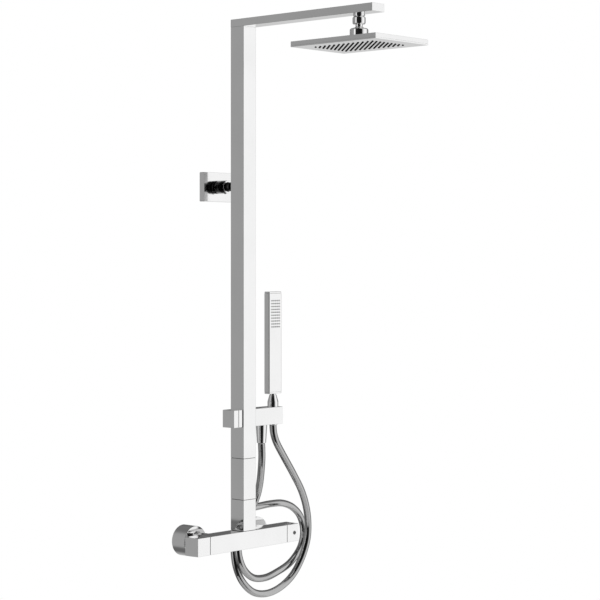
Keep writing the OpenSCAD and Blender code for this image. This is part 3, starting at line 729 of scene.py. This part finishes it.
# %% Riser
RISER_AXIS = (0, RISER_Y)
for name, node, bottom, top in (("riser_foot", "column_foot", 17.8, 76),
                                ("riser_sleeve", "column_sleeve", 76.8, 154),
                                ("riser", "column_main", 154.8, 972)):
    bar_piece(name, "root", "chrome", node, "z", RISER_AXIS, SQUARE, bottom, top, corner=0.9, ease=0.3)
print("riser in three lengths")

# %% [markdown]
# A rectangular plate, a round post and a sliding neck hold the riser to the wall. The plate is a shell,
# open to the wall, so its rings go along the outside and come back inside. The post and the neck are
# turned, with a fine groove each.

# %% Wall bracket
PLATE_AXIS = (670, 0)    # its height and its place across
bm = bmesh.new()
shell = bar("y", PLATE_AXIS, (56, 80), -13, -0.2, corner=1.6)
shell += [along_axis("y", PLATE_AXIS, rounded(53, 77, 0.8), at) for at in (-0.2, -11.4)]
loft(bm, shell)
piece("wall_plate", bm, "root", "chrome", "bracket_cover")
# The post and the neck take the chrome darkened in its colour, which paints in the shade they sit in behind the
# riser.
turned_piece("post", "root", "chrome_painted_dark", "bracket_post", "y", PLATE_AXIS,
             [(8.6, -30), (8.6, -36.8), (12.5, -36.8), (12.5, -27.9), (12.2, -27.6), (12.5, -27.3),
              (12.5, -4)], ease=0.5)
turned_piece("post_ring", "root", "chrome", "bracket_post", "y", PLATE_AXIS,
             [(9.2, -36.8), (9.2, -37.3), (9.4, -37.5), (12.2, -37.5), (12.5, -37.2), (12.5, -36.8)], ease=0.2)
turned_piece("neck", "root", "chrome_painted_dark", "bracket_neck", "y", PLATE_AXIS,
             [(8.5, -61), (8.5, -40.2), (8.1, -39.9), (8.5, -39.6), (8.5, -18)], ease=0.3)
turned_piece("post_screw", "root", "steel", "bracket_grub", "z", (0, -29.5),
             [(1.0, 660.2), (1.0, 658.2), (1.3, 656.6), (2.0, 656.6), (2.0, 661.5)], ease=0.2, sides=24)
print("wall plate, post and neck")

# %% [markdown]
# ## Crosspiece
# The crosspiece has the diverter's handle on its left end and the handset's holder in its right end, with a
# slot for the hose. The socket is drilled in two widths, which leaves a step that carries the liner, and
# the cone nut on it.

# %% Crosspiece and diverter
CROSS_AXIS = (RISER_Y, 230.5)
CROSS_SECTION = (30, 33)
HANDSET_AXIS = (HOLDER_X, RISER_Y)
SLOT_WIDTH = 15.6
holder = bar_piece("crosspiece", "root", "chrome", "cross_body", "x", CROSS_AXIS, CROSS_SECTION, -27.2, 94,
                   ease=0.45)
drill(holder, rod("z", HANDSET_AXIS, 10.0, 213, 248))
drill(holder, rod("z", HANDSET_AXIS, 11.75, 226, 248))
bm = bmesh.new()
loft(bm, bar("z", (HOLDER_X + 10.5, RISER_Y), (15, SLOT_WIDTH), 213, 248, corner=0.3, ease=0.05))
drill(holder, bm)
bar_piece("diverter_handle", "diverter", "chrome", "diverter_knob", "x", CROSS_AXIS, CROSS_SECTION,
          -40.4, -27.9, ease=0.45)
turned_piece("outlet_nut", "root", "chrome", "hose_nut", "z", (OUTLET_X, RISER_Y),
             [(7.1, 181.5), (7.1, 179.4), (7.5, 179.0), (8.9, 179.0), (11.0, 213.7), (8.3, 213.7), (8.3, 211)],
             ease=0.5)
print("crosspiece, diverter handle and outlet nut")

# %% [markdown]
# ## Handset
# The handset is a flat stick with a cap at each end, lofted as three bars so that the joints show. The cone
# nut sits in the holder and takes the hose. It is turned.

# %% Handset
turned_piece("cone_nut", "handset_dock", "chrome", "handset_nut", "z", HANDSET_AXIS,
             [(7.1, 214.5), (7.1, 212.4), (7.5, 212.0), (8.9, 212.0), (8.9, 227.1), (10.65, 227.1),
              (10.65, 256.4), (6.9, 269.6), (6.4, 270.0), (6.3, 268)], ease=0.6)
bar_piece("handset_shell", "handset", "chrome", "handset_body", "z", HANDSET_AXIS, (36, 14), 275.5, 465.5,
          corner=2.5, ease=0.15)
CAP_SECTION = (35.4, 13.4)
bm = bmesh.new()
loft(bm, bar("z", HANDSET_AXIS, CAP_SECTION, 272, 275.4, corner=2.2, ease=0.8))
loft(bm, bar("z", HANDSET_AXIS, CAP_SECTION, 465.6, 469, corner=2.2, ease=1.0))
piece("handset_ends", bm, "handset", "chrome", "handset_caps")
print("handset with its caps and cone nut")

# %% [markdown]
# Soft nozzles stand in rows on the face. One small turned shape, repeated by a loop, keeps them alike, and
# its hole is a real one.

# %% Handset nozzles
def nozzle(bm, axis, centre, base, tip, radius, sides=14):
    """One soft nozzle: a collar, a tapered body and a hole in its tip."""
    way = 1 if tip > base else -1
    length = abs(tip - base)
    profile = [(radius, base), (radius, base + way * 0.35 * length),
               (radius * 0.78, base + way * 0.45 * length), (radius * 0.62, tip),
               (radius * 0.26, tip), (radius * 0.22, tip - way * 0.5 * length)]
    turned(bm, axis, centre, profile, ease=0.08, sides=sides)


COLUMNS, ROWS = 5, 10
TOP_ROW, ROW_PITCH, COLUMN_PITCH = 451.5, 5.6, 5
bm = bmesh.new()
for i in range(COLUMNS):
    for j in range(ROWS):
        spot = (TOP_ROW - ROW_PITCH * j, HOLDER_X + COLUMN_PITCH * (i - 2))
        nozzle(bm, "y", spot, -84.95, -85.4, radius=1.5, sides=12)
loft(bm, bar("y", (426.3, HOLDER_X), (56, 26), -83, -82, corner=1.0, ease=0.2))
piece("handset_nozzles", bm, "handset", "rubber", "handset_nozzle_mat")
print("handset with", COLUMNS * ROWS, "nozzles")

# %% [markdown]
# ## Arm and head
# The arm carries the water pipe forward to a short outlet. It is a flat tube with a cap at each end, lofted
# apart to show the joints.

# %% Arm
ARM_AXIS = (979.25, 0)    # its height and its place across
ARM_SECTION = (14.5, 34)
bar_piece("arm", "root", "chrome", "arm_tube", "y", ARM_AXIS, ARM_SECTION, -411, -63, corner=0.9, ease=0.06)
bm = bmesh.new()
for a, b in ((-413, -411), (-63, -61)):
    loft(bm, bar("y", ARM_AXIS, ARM_SECTION, a, b, corner=0.9, ease=0.4))
piece("arm_ends", bm, "root", "chrome", "arm_end_caps")
print("arm with two end caps")

# %% [markdown]
# The head hangs from the outlet on a swivel ball held in a collar. All of it is turned about the head's
# axis, so the pieces fit each other by their radii.

# %% Swivel
HEAD_AXIS = (0, HEAD_Y)
BALL_RADIUS, BALL_Z = 12.5, 937.5
turned_piece("arm_spout", "root", "chrome", "arm_outlet", "z", HEAD_AXIS,
             [(8.0, 955.6), (8.0, 966.9), (9.9, 967.0), (10.75, 967.8), (10.75, 971.9), (9.5, 972.4)], ease=0.3)
angles = [math.radians(a) for a in range(20, 151, 10)]
ball = [(BALL_RADIUS * math.sin(a), BALL_Z - BALL_RADIUS * math.cos(a)) for a in angles]
turned_piece("swivel", "root", "chrome", "swivel_ball", "z", HEAD_AXIS,
             ball + [(6.5, 949.0), (6.5, 952.5), (10.2, 952.5), (11.75, 954.2), (11.75, 964.4), (10.4, 966.3),
                     (8.1, 966.3)], ease=0.5)
turned_piece("collar", "head", "chrome", "head_collar", "z", HEAD_AXIS,
             [(16.7, 923.5), (16.7, 943.0), (14.7, 945.0), (12.1, 945.0), (13.9, 939.5), (14.6, 931),
              (14.6, 923.5)], closed=True)
print("outlet, swivel ball and collar")

# %% [markdown]
# The head is a thin plate over a thinner front, with a field of soft nozzles made by the handset's own
# function.

# %% Head
HEAD_SECTION = (146, 200)
HEAD_COLUMNS, HEAD_ROWS = 9, 13
bar_piece("head_plate", "head", "chrome", "head_body", "z", HEAD_AXIS, HEAD_SECTION, 916.1, 923.5, ease=0.35)
bar_piece("head_front", "head", "chrome", "head_face", "z", HEAD_AXIS, HEAD_SECTION, 913.5, 916.1, ease=0.25)
bm = bmesh.new()
for i in range(HEAD_COLUMNS):
    for j in range(HEAD_ROWS):
        nozzle(bm, "z", ((i - 4) * 10.4, HEAD_Y + (j - 6) * 11.2), 913.6, 912.3, radius=2.2)
piece("head_nozzles", bm, "head", "rubber", "head_nozzle_mat")
print("head with", HEAD_COLUMNS * HEAD_ROWS, "nozzles")

# %% [markdown]
# ## Parts inside
# Cartridges, pipes, seals and stop rings are out of sight, and the wall screws show only from behind, so
# none of them needs a finer shape. They keep the exact model's own shape, and take a finish from the same
# table.

# %% Inner parts
INSIDE = {
    "chrome": ("handset_inlet",),
    "brass": ("flow_cartridge", "temperature_cartridge", "diverter_cartridge", "outlet_nipple",
              "flow_spindle", "temperature_spindle", "diverter_spindle", "arm_block"),
    "copper": ("lower_pipe", "upper_pipe", "arm_pipe"),
    "steel": ("wall_screws", "flow_knob_grub", "temperature_knob_grub", "button_spring", "bracket_base"),
    "rubber": ("union_seals",),
    "dark_plastic": ("column_core", "holder_liner", "seam_rings"),
    "white_plastic": ("check_valves", "seat_upper", "seat_lower"),
    "red_plastic": ("temperature_stop_ring",),
    "blue_plastic": ("flow_stop_ring",),
}
for finish, nodes in INSIDE.items():
    for node in nodes:
        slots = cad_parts[node].data.materials
        slots.clear()
        slots.append(MATERIALS[finish])
dressed = [node for nodes in INSIDE.values() for node in nodes]
left_over = [n for n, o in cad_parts.items() if not o.hide_render and n not in dressed]
print("inner parts:", sum(len(n) for n in INSIDE.values()), "left over:", left_over)
